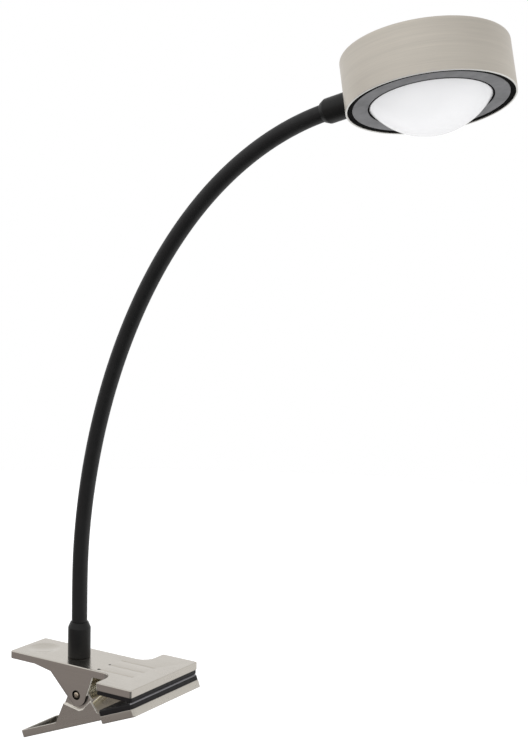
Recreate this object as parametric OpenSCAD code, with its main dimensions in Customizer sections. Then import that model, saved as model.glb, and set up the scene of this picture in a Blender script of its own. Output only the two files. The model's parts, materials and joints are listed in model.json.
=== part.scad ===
// Clip-on reading lamp: a sprung clamp, a bendable arm and a round LED head.
// Millimetres, +Z up, +X towards the head. The origin is the middle of the upper pad's grip face.

/* [Clip jaws] */
// Thickness of the jaws' sheet metal
sheet_t = 1.2; // [0.8:0.1:1.6]
// Outer width of the handles
handle_w = 30.4; // [28:0.2:34]
// Outer width of the front wings
wing_w = 61.2; // [52:0.2:70]
// Pivot to the front edge
jaw_front = 48.9; // [44:0.1:54]
// Pivot to the rear edge
jaw_rear = 47.4; // [40:0.1:56]
// Pivot to the rear edge of the wings
jaw_neck = 25.3; // [24:0.1:27]
// Depth of the turned-down rim
rim_h = 4.3; // [4:0.1:5]
// Pivot to the plate's outer face
plate_z = 16.4; // [15.6:0.1:17]
// Angle between the two plates when the jaws are closed
jaw_angle = 21.6; // [21:0.1:22.2]
// Radius of the ears' rounded ends
ear_r = 6.4; // [5.8:0.1:6.6]

/* [Grip pads] */
// How far the upper pad stands out of its rim
upper_pad_out = 2.4; // [1.8:0.1:2.6]
// How far the lower pad stands out of its rim
lower_pad_out = 3.3; // [2.6:0.1:3.4]

/* [Pivot and spring] */
// Radius of the pivot rivet
rivet_r = 2; // [1.8:0.1:2.2]
// Wire diameter of the torsion spring
wire_d = 1.5; // [1.2:0.1:1.7]
// Mean radius of the spring's coil
coil_r = 4.7; // [3.6:0.1:5]
// Whole turns in the coil
coil_turns = 11; // [8:1:11]

/* [Arm] */
// Diameter of the gooseneck's sleeve
neck_d = 8.6; // [8:0.1:9.2]
// Diameter of the steel core inside the sleeve
core_d = 7.2; // [6.6:0.1:7.4]
// Diameter of the lead inside the core
lead_d = 3; // [2.4:0.1:3.4]
// Pieces that the bendable arm is divided into
neck_pieces = 12; // [12:1:12]
// Post's axis to the pivot, along the jaw
post_back = 10.2; // [9.8:0.1:11]
// Height of the straight stretch above the plate
neck_rise = 40; // [36:1:60]
// Pull of the curve at its lower end
lower_pull = 106; // [95:1:115]
// Pull of the curve at its upper end
upper_pull = 104; // [95:1:115]
// Diameter of the two ferrules
ferrule_d = 12.6; // [12:0.1:13.4]
// Height of the lower ferrule
base_ferrule_h = 19.9; // [18:0.1:24]
// Length of the upper ferrule
top_ferrule_h = 17.6; // [16:0.1:22]

/* [Head] */
// Outer diameter of the head
head_d = 80; // [78:1:84]
// Height of the head's wall
head_h = 26; // [25:0.5:30]
// Wall thickness of the head's shell
shell_t = 0.9; // [0.8:0.1:1.1]
// Post's axis to the head's wall, level
head_reach = 165; // [150:1:180]
// Plate to the middle of the head's wall, upright
head_rise = 304.5; // [290:0.5:320]
// Slope of the head towards the arm
head_tilt = 16.6; // [10:0.1:24]
// Roll of the head about the upper ferrule
head_roll = 11.8; // [-20:0.1:20]
// How far the lens bulges below its rim
lens_bulge = 14.8; // [10:0.2:15]

/* [Hidden] */
$fn = 96;
through = 1;

// jaws
plate_in = plate_z - sheet_t;
rim_z = plate_z - rim_h;
wing_r = 1.4;
handle_r = 1.4;
neck_fillet = 7;
cheek_y = handle_w / 2;
ear_gap = 0.15;
inner_ear_y = cheek_y - sheet_t - ear_gap;
flank_offset = 5.73;
front_flank = 340.7;
rear_flank = 225 + acos(flank_offset / ear_r);
upper_shoulder = [[-29.7, plate_z - rim_h], [-18.2, 10]];
lower_shoulder = [[-20.1, plate_z - rim_h]];
joggle_z = 8.4;
joggle_flat = 1.4;
joggle_rear = 31;
joggle_front = 25;
joggle_w = 1.5;
dimple_x = -35.7;
dimple_r = 8.7;
dimple_depth = 1.1;
dimple_sphere = (dimple_r * dimple_r + dimple_depth * dimple_depth) / (2 * dimple_depth);
groove_w = 0.7;
groove_depth = 0.35;
groove_len = 22.6;
groove_x = 14;
groove_rows = [-12, -2.4, 7.2];
pit_x = 13.1;
pit_r = 0.6;
pit_depth = 0.9;
pad_fit = 0.05;
pad_r = 0.5;
pad_rear = jaw_neck + sheet_t + pad_fit;
pad_front = jaw_front - sheet_t - pad_fit;
pivot_x = -(pad_rear + pad_front) / 2;
pivot_z = -(rim_z - upper_pad_out);

// pivot
run_fit = 0.05;
rivet_out = 0.4;
rivet_bore = 1;
leg_reach = 24;
leg_z = plate_in - wire_d / 2 - 0.2;
coil_pitch = wire_d + 0.12;
coil_steps = 14;
wire_sides = 8;

// post
post_x = -post_back;
stud_r = 4;
stud_bore = 2.5;
stud_low = -9.5;
stud_high = 5.5;
hole_fit = 0.1;
washer_h = 0.8;
base_nut_h = 4;
bush_bore = 1.75;
bush_in = 5.5;
bush_lip = 1.5;

// arm
ball_r = neck_d / 2 - 0.05;
cup_r = ball_r + 0.2;
core_bore = 2.2;
lead_low = -2;
lead_in_head = 7;
lead_sides = 8;
neck_start = stud_high;
ferrule_lead = 7;
curve_end = 14;
neck_stop = 5;
curve_steps = 60;
head_dir = [cos(head_tilt), 0, sin(head_tilt)];
wall_point = [head_reach, 0, head_rise];
rise_point = [0, 0, neck_rise];
curve = [
    rise_point,
    rise_point + [0, 0, lower_pull],
    wall_point - (curve_end + upper_pull) * head_dir,
    wall_point - curve_end * head_dir
];
curve_points = [for (i = [0:curve_steps]) on_curve(i / curve_steps)];
curve_length = length_to(curve_steps);
length_table = [for (i = [0:curve_steps]) [length_to(i), i / curve_steps]];
first_joint = base_ferrule_h + ferrule_lead;
last_joint = neck_rise + curve_length - (top_ferrule_h - curve_end) - ferrule_lead;
joint_step = (last_joint - first_joint) / (neck_pieces - 2);
neck_joints = [for (i = [0:neck_pieces - 2]) at_length(first_joint + i * joint_step)];
neck_ends = concat([[0, 0, neck_start]], neck_joints, [wall_point - neck_stop * head_dir]);

// head
head_r = head_d / 2;
top_z = head_h / 2;
mouth_z = -head_h / 2;
shell_in = head_r - shell_t;
shell_top_t = 1.2;
shell_round = 2;
spigot_r = 5;
spigot_len = 8;
head_washer_r = 8;
head_washer_x = -sqrt(shell_in * shell_in - head_washer_r * head_washer_r) + 0.05;
head_nut_h = 4;
boss_r = 3;
boss_ring = 27;
boss_first = 30;
screw_depth = 8;
screw_r = 1.25;
board_ring = 18;
board_screw_r = 1;
spreader_r = 30.5;
spreader_low = 0.5;
spreader_t = 2;
board_r = 22;
board_t = 1.6;
chip_h = 0.8;
carrier_out = shell_in - 0.1;
carrier_in = carrier_out - 1.9;
carrier_h = 3.2;
face_z = mouth_z + 0.4;
trim_z = face_z + 0.1;
trim_t = 1.6;
trim_in = 29.4;
lens_r = 28.4;
lens_flange_r = 31.1;
lens_flange_t = 1.3;
lens_t = 2;
lens_rim_z = face_z + 0.6;
seat_z = trim_z + trim_t;
lens_sphere = (lens_r * lens_r + lens_bulge * lens_bulge) / (2 * lens_bulge);

// ---- curves and outlines ----

function arc(centre, r, from, to, steps = 12) =
    [for (i = [0:steps]) centre + r * [cos(from + (to - from) * i / steps), sin(from + (to - from) * i / steps)]];

function on_curve(t) =
    pow(1 - t, 3) * curve[0] + 3 * pow(1 - t, 2) * t * curve[1]
    + 3 * (1 - t) * t * t * curve[2] + pow(t, 3) * curve[3];

function length_to(i) =
    i == 0 ? 0 : length_to(i - 1) + norm(on_curve(i / curve_steps) - on_curve((i - 1) / curve_steps));

// A point of the arm's centre line, by its distance from the plate along the line
function at_length(s) =
    s < neck_rise ? [0, 0, s] : on_curve(lookup(s - neck_rise, length_table));

// Angle from +Z towards +X of the line between two points
function lean(a, b) = atan2(b[0] - a[0], b[2] - a[2]);

function piece_length(i) = norm(neck_ends[i] - neck_ends[i - 1]);

// ---- shared shapes ----

// A tube along a path, as one closed mesh. At each point, across x side points along the path.
module sweep(path, across, side, r, sides) {
    last = len(path) - 1;
    points = [for (i = [0:last]) for (k = [0:sides - 1])
        path[i] + r * (cos(360 * k / sides) * across[i] + sin(360 * k / sides) * side)];
    walls = [for (i = [0:last - 1]) for (k = [0:sides - 1])
        [i * sides + k, (i + 1) * sides + k, (i + 1) * sides + (k + 1) % sides, i * sides + (k + 1) % sides]];
    low_cap = [for (k = [0:sides - 1]) k];
    high_cap = [for (k = [sides - 1:-1:0]) last * sides + k];
    polyhedron(points, concat(walls, [low_cap, high_cap]));
}

module ring(outer, inner, h) {
    difference() {
        cylinder(h = h, r = outer);
        translate([0, 0, -through]) cylinder(h = h + 2 * through, r = inner);
    }
}

module rod_y(r, length) {
    rotate([90, 0, 0]) cylinder(h = length, r = r, center = true);
}

module hex(across_flats, h) {
    cylinder(h = h, r = across_flats / sqrt(3), $fn = 6);
}

module both_sides() {
    children();
    mirror([0, 1, 0]) children();
}

// ---- places ----

module at_pivot() {
    translate([pivot_x, 0, pivot_z]) children();
}

module at_lower_jaw() {
    at_pivot() rotate([0, -jaw_angle, 0]) mirror([0, 0, 1]) children();
}

// The post's axis, from the middle of the plate's hole
module at_post() {
    at_pivot() translate([post_x, 0, plate_z]) children();
}

// The lower end of one piece of the gooseneck, +Z along the piece
module at_piece(i) {
    at_post() translate(neck_ends[i - 1]) rotate([0, lean(neck_ends[i - 1], neck_ends[i]), 0]) children();
}

// The upper ferrule's axis along +Z, from the head's wall back towards the arm
module at_wall() {
    at_post() translate(wall_point) rotate([0, -90 - head_tilt, 0]) children();
}

// The middle of the head, its mouth towards -Z
module at_head() {
    at_post() translate(wall_point) rotate([0, -head_tilt, 0]) rotate([-head_roll, 0, 0])
        translate([head_r, 0, 0]) children();
}

// ---- clip ----

module rounded_box(x0, x1, half_w, r) {
    translate([x0 + r, -half_w]) square([x1 - x0 - 2 * r, 2 * half_w]);
    translate([x0, -half_w + r]) square([x1 - x0, 2 * (half_w - r)]);
    for (x = [x0 + r, x1 - r], y = [-half_w + r, half_w - r]) translate([x, y]) circle(r);
}

// The T-shaped outline of a jaw's plate, drawn in by inset
module plate_outline(inset) {
    fillet = neck_fillet + inset;
    corner = [jaw_neck + inset, cheek_y - inset];
    rounded_box(-jaw_rear + inset, jaw_front - inset, cheek_y - inset, handle_r - inset);
    rounded_box(jaw_neck + inset, jaw_front - inset, wing_w / 2 - inset, wing_r - inset);
    both_sides() difference() {
        translate(corner - [fillet, 0]) square(fillet);
        translate(corner + [-fillet, fillet]) circle(fillet);
    }
}

// Side view of an ear and the cheek above it, with x along the jaw and y towards the plate.
// The shoulder is the cheek's edge behind the ear, from the rim to the rear flank.
module ear_outline(shoulder) {
    front = ear_r * [cos(front_flank), sin(front_flank)];
    front_corner_x = front[0] + (rim_z - front[1]) * tan(360 - front_flank);
    polygon(concat(
        [[shoulder[0][0], plate_in]],
        shoulder,
        arc([0, 0], ear_r, rear_flank, front_flank, 20),
        [[front_corner_x, rim_z], [front_corner_x, plate_in]]
    ));
}

// The part of the ear that is pressed inwards on the lower jaw, up to a V-shaped line
module joggle_outline(grow) {
    z = joggle_z + grow;
    reach = 30;
    polygon([
        [-joggle_flat, z], [joggle_flat, z],
        [joggle_flat + reach, z - reach * tan(joggle_front)], [reach, -reach], [-reach, -reach],
        [-joggle_flat - reach, z - reach * tan(joggle_rear)]
    ]);
}

// Stands a side view up, its outer face at y = outer
module upright(outer, thick) {
    translate([0, outer, 0]) rotate([90, 0, 0]) linear_extrude(thick) children();
}

module tray() {
    difference() {
        translate([0, 0, rim_z]) linear_extrude(rim_h) plate_outline(0);
        translate([0, 0, rim_z - through]) linear_extrude(rim_h - sheet_t + through)
            plate_outline(sheet_t);
    }
}

// Pressed-in rest for the thumb, the same thickness as the sheet
module dimpled() {
    centre = plate_z + dimple_sphere - dimple_depth;
    difference() {
        union() {
            children();
            intersection() {
                translate([dimple_x, 0, centre]) sphere(dimple_sphere + sheet_t);
                translate([dimple_x, 0, rim_z]) cylinder(h = rim_h - sheet_t, r = dimple_r + sheet_t);
            }
        }
        translate([dimple_x, 0, centre]) sphere(dimple_sphere);
    }
}

module upper_jaw() {
    color([0.76, 0.74, 0.71]) at_pivot() difference() {
        union() {
            dimpled() tray();
            both_sides() upright(cheek_y, sheet_t) ear_outline(upper_shoulder);
        }
        rod_y(rivet_r, handle_w + 2 * through);
        both_sides() translate([0, cheek_y, 0]) rotate([90, 0, 0])
            cylinder(h = sheet_t / 2, r1 = rivet_r + sheet_t / 2, r2 = rivet_r);
        translate([post_x, 0, plate_in - through]) cylinder(h = sheet_t + 2 * through, r = stud_r + hole_fit);
        for (y = groove_rows)
            translate([groove_x, y - groove_w / 2, plate_z - groove_depth])
                cube([groove_len, groove_w, groove_depth + through]);
        for (y = [groove_rows[0], groove_rows[1]])
            translate([pit_x, y, plate_z - pit_depth]) cylinder(h = pit_depth + through, r = pit_r);
    }
}

module lower_jaw() {
    color([0.66, 0.64, 0.60]) at_lower_jaw() difference() {
        union() {
            dimpled() tray();
            both_sides() upright(cheek_y, sheet_t) difference() {
                ear_outline(lower_shoulder);
                joggle_outline(0);
            }
            both_sides() upright(inner_ear_y, sheet_t) intersection() {
                ear_outline(lower_shoulder);
                joggle_outline(joggle_w);
            }
            both_sides() upright(cheek_y, 2 * sheet_t + ear_gap) intersection() {
                ear_outline(lower_shoulder);
                difference() {
                    joggle_outline(joggle_w);
                    joggle_outline(0);
                }
            }
        }
        rod_y(rivet_r + run_fit, handle_w + 2 * through);
    }
}

// Semi-tubular rivet: a solid shank with a blind hole in each end
module pivot_rivet() {
    color([0.72, 0.70, 0.66]) at_pivot() difference() {
        rod_y(rivet_r, handle_w + 2 * rivet_out);
        both_sides() translate([0, cheek_y + rivet_out, 0]) rotate([90, 0, 0])
            cylinder(h = 2 * sheet_t, r = rivet_bore);
    }
}

module torsion_spring() {
    reach = norm([leg_reach, leg_z]);
    lead_angle = acos(coil_r / reach);
    upper_end = [-leg_reach, 0, leg_z];
    lower_end = [
        -leg_reach * cos(jaw_angle) + leg_z * sin(jaw_angle), 0,
        -leg_reach * sin(jaw_angle) - leg_z * cos(jaw_angle)
    ];
    from = atan2(upper_end[2], upper_end[0]) - lead_angle;
    to = atan2(lower_end[2], lower_end[0]) + lead_angle - 360 * coil_turns;
    turned = from - to;
    length = coil_pitch * turned / 360;
    steps = floor(coil_steps * turned / 360);
    angles = [for (i = [0:steps]) from - turned * i / steps];
    coil = [for (i = [0:steps]) [coil_r * cos(angles[i]), length * (i / steps - 0.5), coil_r * sin(angles[i])]];
    spokes = [for (a = angles) [cos(a), 0, sin(a)]];
    color([0.55, 0.50, 0.38]) at_pivot() sweep(
        concat([upper_end - [0, length / 2, 0]], coil, [lower_end + [0, length / 2, 0]]),
        concat([spokes[0]], spokes, [spokes[steps]]),
        [0, -1, 0], wire_d / 2, wire_sides
    );
}

module pad(out) {
    translate([0, 0, rim_z - out]) linear_extrude(out + rim_h - sheet_t)
        rounded_box(pad_rear, pad_front, wing_w / 2 - sheet_t - pad_fit, pad_r);
}

module upper_pad() {
    color([0.10, 0.10, 0.10]) at_pivot() pad(upper_pad_out);
}

module lower_pad() {
    color([0.11, 0.10, 0.12]) at_lower_jaw() pad(lower_pad_out);
}

// ---- post ----

// Outline of a ferrule on its axis, its open end rounded in to the neck
module ferrule_outline(length, shoulder, bore) {
    r = ferrule_d / 2;
    lip = neck_d / 2 + 0.6;
    polygon(concat(
        [[bore, 0], [r - 0.4, 0], [r, 0.4]],
        [[r, length - shoulder]],
        arc([r - 1.2, length - shoulder], 1.2, 0, 55, 5),
        [[lip, length], [bore, length]]
    ));
}

module base_ferrule() {
    color([0.09, 0.09, 0.09]) at_post() difference() {
        rotate_extrude() ferrule_outline(base_ferrule_h, 3, stud_r);
        translate([0, 0, stud_high]) cylinder(h = base_ferrule_h, r = neck_d / 2);
    }
}

module base_nipple() {
    color([0.78, 0.76, 0.70]) at_post() translate([0, 0, stud_low])
        ring(stud_r, stud_bore, stud_high - stud_low);
}

module base_washer() {
    color([0.70, 0.70, 0.68]) at_post() translate([0, 0, -sheet_t - washer_h])
        ring(stud_r + 2.8, stud_r + hole_fit, washer_h);
}

module base_nut() {
    color([0.74, 0.73, 0.70]) at_post() translate([0, 0, -sheet_t - washer_h - base_nut_h]) difference() {
        hex(13, base_nut_h);
        translate([0, 0, -through]) cylinder(h = base_nut_h + 2 * through, r = stud_r);
    }
}

// Rubber bush in the stud's lower end: the supply cord's way in
module inlet_bush() {
    color([0.06, 0.06, 0.06]) at_post() translate([0, 0, stud_low]) {
        difference() {
            union() {
                cylinder(h = bush_in, r = stud_bore);
                translate([0, 0, -bush_lip]) cylinder(h = bush_lip, r = stud_r - 0.3);
            }
            translate([0, 0, -bush_lip - through]) cylinder(h = bush_in + bush_lip + 2 * through, r = bush_bore);
        }
    }
}

// ---- arm ----

// One piece of the gooseneck, between the radii inner and outer. Its lower end is a ball round its own
// joint, and its upper end is a cup round the next joint, so neighbours roll on each other.
module neck_piece(i, outer, inner) {
    length = piece_length(i);
    at_piece(i) difference() {
        intersection() {
            union() {
                cylinder(h = length, r = outer);
                if (i > 1) sphere(ball_r);
            }
            translate([0, 0, -neck_d]) cylinder(h = length + neck_d, r = outer);
        }
        translate([0, 0, -neck_d]) cylinder(h = length + 2 * neck_d, r = inner);
        if (i < neck_pieces) translate([0, 0, length]) sphere(cup_r);
    }
}

module neck_sleeve(i) {
    color([0.11, 0.11, 0.11]) neck_piece(i, neck_d / 2, core_d / 2);
}

module neck_core(i) {
    color([0.45, 0.45, 0.46]) neck_piece(i, core_d / 2, core_bore);
}

module supply_lead() {
    inside = wall_point + lead_in_head * head_dir;
    path = concat([[0, 0, lead_low]], neck_joints, [wall_point - neck_stop * head_dir, inside]);
    last = len(path) - 1;
    leans = [for (i = [0:last]) lean(path[max(i - 1, 0)], path[min(i + 1, last)])];
    color([0.15, 0.15, 0.16]) at_post() sweep(
        path, [for (a = leans) [cos(a), 0, -sin(a)]], [0, 1, 0], lead_d / 2, lead_sides
    );
}

// ---- head ----

module top_ferrule() {
    color([0.09, 0.09, 0.09]) difference() {
        at_wall() difference() {
            union() {
                rotate_extrude() ferrule_outline(top_ferrule_h, 2.4, stud_bore);
                translate([0, 0, -spigot_len]) cylinder(h = spigot_len + 0.4, r = spigot_r);
            }
            translate([0, 0, -spigot_len - through]) cylinder(h = spigot_len + neck_stop, r = stud_bore);
        }
        at_piece(neck_pieces) cylinder(h = piece_length(neck_pieces), r = neck_d / 2);
    }
}

module head_washer() {
    color([0.70, 0.70, 0.68]) at_wall() translate([0, 0, -head_r - head_washer_x - washer_h])
        ring(head_washer_r, spigot_r + hole_fit, washer_h);
}

module head_nut() {
    color([0.74, 0.73, 0.70]) at_wall() translate([0, 0, -head_r - head_washer_x - washer_h - head_nut_h])
        difference() {
            hex(14, head_nut_h);
            translate([0, 0, -through]) cylinder(h = head_nut_h + 2 * through, r = spigot_r);
        }
}

module at_three(radius) {
    for (a = [0, 120, 240]) rotate(boss_first + a) translate([radius, 0, 0]) children();
}

module head_shell() {
    edge = shell_round - shell_t;
    color([0.74, 0.71, 0.66]) at_head() difference() {
        union() {
            rotate_extrude() polygon(concat(
                [[shell_in, mouth_z], [head_r, mouth_z]],
                arc([head_r - shell_round, top_z - shell_round], shell_round, 0, 90, 8),
                [[0, top_z], [0, top_z - shell_top_t]],
                arc([shell_in - edge, top_z - shell_top_t - edge], edge, 90, 0, 5)
            ));
            at_three(boss_ring) translate([0, 0, spreader_low + spreader_t])
                cylinder(h = top_z - shell_top_t / 2 - spreader_low - spreader_t, r = boss_r);
        }
        translate([-head_r - through, 0, 0]) rotate([0, 90, 0])
            cylinder(h = 2 * spigot_len, r = spigot_r + run_fit);
        at_three(boss_ring) cylinder(h = screw_depth, r = screw_r);
    }
}

module heat_spreader() {
    color([0.82, 0.83, 0.84]) at_head() translate([0, 0, spreader_low]) difference() {
        cylinder(h = spreader_t, r = spreader_r);
        at_three(boss_ring) translate([0, 0, -through]) cylinder(h = spreader_t + 2 * through, r = 1.6);
        at_board_holes() translate([0, 0, -through]) cylinder(h = spreader_t + 2 * through, r = board_screw_r);
        translate([-12, 0, -through]) cylinder(h = spreader_t + 2 * through, r = 2);
        translate([-spreader_r - through, -4, -through]) cube([4, 8, spreader_t + 2 * through]);
    }
}

module at_board_holes() {
    for (a = [60, 240]) rotate(a) translate([board_ring, 0, 0]) children();
}

module led_board() {
    color([0.92, 0.92, 0.90]) at_head() translate([0, 0, spreader_low - board_t]) difference() {
        cylinder(h = board_t, r = board_r);
        at_board_holes() translate([0, 0, -through]) cylinder(h = board_t + 2 * through, r = 1.2);
    }
}

module led_chips() {
    chip = [2.8, 3.5, chip_h];
    color([0.98, 0.90, 0.55]) at_head() for (row = [[6, 6], [12, 12]], i = [0:row[0] - 1])
        rotate(360 * (i + 0.5) / row[0]) translate([row[1] - chip[0] / 2, -chip[1] / 2,
            spreader_low - board_t - chip_h]) cube(chip);
}

module driver_board() {
    color([0.10, 0.38, 0.20]) at_head() translate([-9, -10, spreader_low + spreader_t]) cube([34, 20, 1.6]);
}

module driver_parts() {
    deck = spreader_low + spreader_t + 1.6;
    color([0.20, 0.20, 0.22]) at_head() translate([0, 0, deck]) {
        translate([10, -5, 0]) cube([9, 8, 5.5]);
        translate([1, -5, 0]) cylinder(h = 5.5, r = 3);
        translate([2, 5, 0]) cylinder(h = 4, r = 2.4);
        translate([-6.5, 3, 0]) cube([5, 4, 2]);
    }
}

module terminal_block() {
    color([0.90, 0.90, 0.86]) at_head() translate([-25, -5, spreader_low + spreader_t]) difference() {
        cube([8, 10, 5]);
        for (y = [2.6, 7.4]) translate([4, y, 2.5]) cylinder(h = 5, r = 1.4);
    }
}

// The lead's two wires, from its end in the spigot to the terminal block
module lead_tails() {
    start = [lead_in_head - head_r + 0.6, 1, 0];
    end = [-25.4, 2.4, 5];
    run = end - start;
    color([0.75, 0.15, 0.12]) at_head() both_sides() translate(start)
        rotate([0, acos(run[2] / norm(run)), atan2(run[1], run[0])]) cylinder(h = norm(run), r = 0.7);
}

// A pan-headed screw on its own axis, its head below z = 0
module screw(r, length, head, head_h) {
    cylinder(h = length, r = r);
    translate([0, 0, -head_h]) cylinder(h = head_h, r = head);
}

module board_screws() {
    color([0.80, 0.80, 0.78]) at_head() at_board_holes() translate([0, 0, spreader_low - board_t])
        screw(board_screw_r, board_t + spreader_t - 0.2, 2.1, 1.4);
}

module spreader_screws() {
    color([0.80, 0.80, 0.78]) at_head() at_three(boss_ring) translate([0, 0, spreader_low])
        screw(screw_r, screw_depth - spreader_low - 0.5, 2.6, 1.6);
}

module reflector() {
    top = spreader_low - board_t;
    low = seat_z + lens_flange_t;
    color([0.96, 0.96, 0.95]) at_head() rotate_extrude() polygon([
        [board_r - 1.4, top], [board_r, top], [lens_flange_r - 0.3, low + 0.8],
        [lens_flange_r - 0.3, low], [lens_r, low]
    ]);
}

// Black carrier: a short wall just inside the shell, with a ledge above the trim ring
module bezel_ring() {
    color([0.05, 0.05, 0.05]) at_head() rotate_extrude() polygon([
        [carrier_in, face_z], [carrier_out, face_z], [carrier_out, face_z + carrier_h],
        [lens_flange_r + 0.1, face_z + carrier_h], [lens_flange_r + 0.1, seat_z], [carrier_in, seat_z]
    ]);
}

module trim_ring() {
    color([0.48, 0.48, 0.49]) at_head() translate([0, 0, trim_z]) ring(carrier_in - 0.1, trim_in, trim_t);
}

module lens_gasket() {
    color([0.05, 0.05, 0.05]) at_head() translate([0, 0, face_z]) ring(trim_in, lens_r, seat_z - face_z);
}

// Domed diffuser with a flange that the trim ring holds
module lens() {
    centre = [0, lens_rim_z - lens_bulge + lens_sphere];
    inner = lens_sphere - lens_t;
    rim_angle = atan2(lens_rim_z - centre[1], lens_r);
    inner_angle = asin((lens_rim_z - centre[1]) / inner);
    flange_top = seat_z + lens_flange_t;
    color([0.94, 0.95, 0.96]) at_head() rotate_extrude() polygon(concat(
        [[lens_r, flange_top], [lens_flange_r, flange_top], [lens_flange_r, seat_z], [lens_r, seat_z]],
        arc(centre, lens_sphere, rim_angle, -90, 20),
        arc(centre, inner, -90, inner_angle, 20),
        [[inner * cos(inner_angle), flange_top]]
    ));
}

upper_jaw();
lower_jaw();
pivot_rivet();
torsion_spring();
upper_pad();
lower_pad();
base_ferrule();
base_nipple();
base_washer();
base_nut();
inlet_bush();
supply_lead();
for (i = [1:neck_pieces]) {
    neck_sleeve(i);
    neck_core(i);
}
top_ferrule();
head_washer();
head_nut();
head_shell();
heat_spreader();
led_board();
led_chips();
driver_board();
driver_parts();
terminal_block();
lead_tails();
board_screws();
spreader_screws();
reflector();
bezel_ring();
trim_ring();
lens_gasket();
lens();
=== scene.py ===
"""Looks of the clip-on reading lamp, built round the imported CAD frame. Metres, in the row frame."""
import json
import math

import bmesh
import bpy
import numpy as np
from mathutils import Matrix, Vector
from mathutils.geometry import delaunay_2d_cdt


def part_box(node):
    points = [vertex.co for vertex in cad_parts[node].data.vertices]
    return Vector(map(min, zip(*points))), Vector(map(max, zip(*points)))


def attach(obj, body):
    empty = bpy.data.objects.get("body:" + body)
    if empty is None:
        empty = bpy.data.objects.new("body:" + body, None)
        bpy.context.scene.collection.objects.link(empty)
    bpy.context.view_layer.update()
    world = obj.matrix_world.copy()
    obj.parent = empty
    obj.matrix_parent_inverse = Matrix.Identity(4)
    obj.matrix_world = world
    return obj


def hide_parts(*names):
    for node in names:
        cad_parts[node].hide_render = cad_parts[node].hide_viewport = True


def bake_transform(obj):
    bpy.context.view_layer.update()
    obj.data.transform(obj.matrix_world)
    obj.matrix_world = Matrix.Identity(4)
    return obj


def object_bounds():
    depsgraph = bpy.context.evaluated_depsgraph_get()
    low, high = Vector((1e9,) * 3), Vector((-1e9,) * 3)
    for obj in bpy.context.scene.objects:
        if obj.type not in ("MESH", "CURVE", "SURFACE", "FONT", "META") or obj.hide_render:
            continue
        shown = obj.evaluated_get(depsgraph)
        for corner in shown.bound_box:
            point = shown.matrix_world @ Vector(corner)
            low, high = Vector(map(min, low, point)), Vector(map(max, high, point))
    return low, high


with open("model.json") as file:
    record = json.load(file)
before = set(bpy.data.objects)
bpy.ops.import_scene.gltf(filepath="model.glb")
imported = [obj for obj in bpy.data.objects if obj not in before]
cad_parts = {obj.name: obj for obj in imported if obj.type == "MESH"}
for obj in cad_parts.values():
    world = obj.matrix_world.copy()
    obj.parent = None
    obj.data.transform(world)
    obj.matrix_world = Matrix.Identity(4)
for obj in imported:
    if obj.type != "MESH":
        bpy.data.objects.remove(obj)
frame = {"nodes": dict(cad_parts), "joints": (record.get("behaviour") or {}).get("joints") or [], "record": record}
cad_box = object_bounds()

MM = 0.001
nodes = frame["nodes"]
joints = {j["name"]: j for j in frame["joints"]}


# ---------------------------------------------------------------- places

def centre_of(node):
    lo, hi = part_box(node)
    return (lo + hi) / 2


PIVOT = Vector(joints["jaw_pivot"]["pos_m"])
PLATE_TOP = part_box("base_ferrule")[0].z
POST = Vector((centre_of("base_ferrule").x, 0, PLATE_TOP))
WALL = Vector(joints["head_turn"]["pos_m"])
HEAD_DIR = Vector(joints["head_turn"]["axis"]).normalized()
HEAD_R = 40 * MM
JAW_ANGLE = math.radians(21.6)


def plane_normal(node):
    """The direction in which a flat node is thinnest, upwards."""
    co = np.array([v.co for v in nodes[node].data.vertices], float)
    n = Vector(np.linalg.svd(co - co.mean(0), full_matrices=False)[2][-1])
    return n if n.z > 0 else -n


def frame_of(origin, x, z):
    """A 4x4 with these X and Z directions."""
    y = z.cross(x).normalized()
    m = Matrix((x, y, z)).transposed().to_4x4()
    m.translation = origin
    return m


HEAD_UP = plane_normal("led_board")
HEAD_X = (HEAD_DIR - HEAD_DIR.dot(HEAD_UP) * HEAD_UP).normalized()
HEAD = frame_of(WALL + HEAD_R * HEAD_DIR, HEAD_X, HEAD_UP)
FERRULE = frame_of(WALL, HEAD_DIR.cross(Vector((0, 1, 0))).normalized(), -HEAD_DIR)
UPPER = Matrix.Translation(PIVOT)
LOWER = Matrix.Translation(PIVOT) @ Matrix.Rotation(-JAW_ANGLE, 4, "Y")
POST_FRAME = Matrix.Translation(POST)


# ---------------------------------------------------------------- mesh helpers

def new_piece(name, verts, faces, matrix=Matrix.Identity(4), sharp=35, bare_edge_and_painted_light=None):
    """A mesh object with millimetre vertices turned into metres. Edges over the angle stay sharp.
    Its last argument gives each face a value of painted light, which the brushed metals and the rubber read: a
    painted highlight above zero, painted shade below."""
    mesh = bpy.data.meshes.new(name)
    co = np.array(verts, float) * MM
    mesh.from_pydata(co.tolist(), [], faces)
    if bare_edge_and_painted_light is not None:
        mesh.attributes.new("bare_edge_and_painted_light", "FLOAT", "FACE").data.foreach_set("value", bare_edge_and_painted_light)
    tidy(mesh, sharp)
    obj = bpy.data.objects.new(name, mesh)
    bpy.context.scene.collection.objects.link(obj)
    obj.matrix_world = matrix
    return obj


def tidy(mesh, sharp):
    bm = bmesh.new()
    bm.from_mesh(mesh)
    bmesh.ops.remove_doubles(bm, verts=bm.verts, dist=1e-7)
    bmesh.ops.dissolve_degenerate(bm, edges=bm.edges, dist=1e-7)
    bmesh.ops.recalc_face_normals(bm, faces=bm.faces)
    for f in bm.faces:
        f.smooth = True
    bm.to_mesh(mesh)
    bm.free()
    mesh.set_sharp_from_angle(angle=math.radians(sharp))


def arc(cx, cy, r, start, end, steps):
    angles = np.radians(np.linspace(start, end, steps + 1))
    return [(cx + r * math.cos(a), cy + r * math.sin(a)) for a in angles]


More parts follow.
